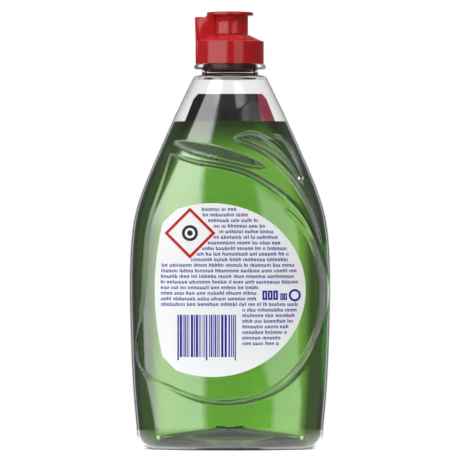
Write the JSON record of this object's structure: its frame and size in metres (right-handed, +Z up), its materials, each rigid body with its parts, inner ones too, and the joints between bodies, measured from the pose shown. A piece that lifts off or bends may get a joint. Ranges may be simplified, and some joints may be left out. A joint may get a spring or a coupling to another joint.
{
  "type": "dish soap bottle",
  "caption": "Clear blown bottle of green dish soap with film labels, embossed swooshes and a red push-pull cap whose spout slides up to pour",
  "frame": {"origin": "middle of the base, on the plane that the bottle stands on", "axes": "+Z up along the neck, -Y towards the back label, -X towards the thumb guard of the cap"},
  "size_m": [0.0865, 0.0428, 0.1878],
  "materials": {
    "clear_plastic": "clear glossy blown PET",
    "green_liquid": "clear green liquid",
    "white_film": "white film label with a soft gloss",
    "clear_film": "clear film label with printed fields",
    "red_plastic": "glossy moulded polypropylene",
    "label_ink": "printed ink"
  },
  "bodies": {
    "filled_bottle": {"bottle": "clear_plastic", "dish_soap": "green_liquid", "back_label": "white_film", "front_label": "clear_film", "cap_base": "red_plastic"},
    "spout": {"pull_spout": "red_plastic"}
  },
  "joints": [
    {"name": "spout_slide", "type": "slide", "parent": "filled_bottle", "child": "spout", "axis": [0, 0, 1], "range_m": [0, 0.0044]}
  ]
}
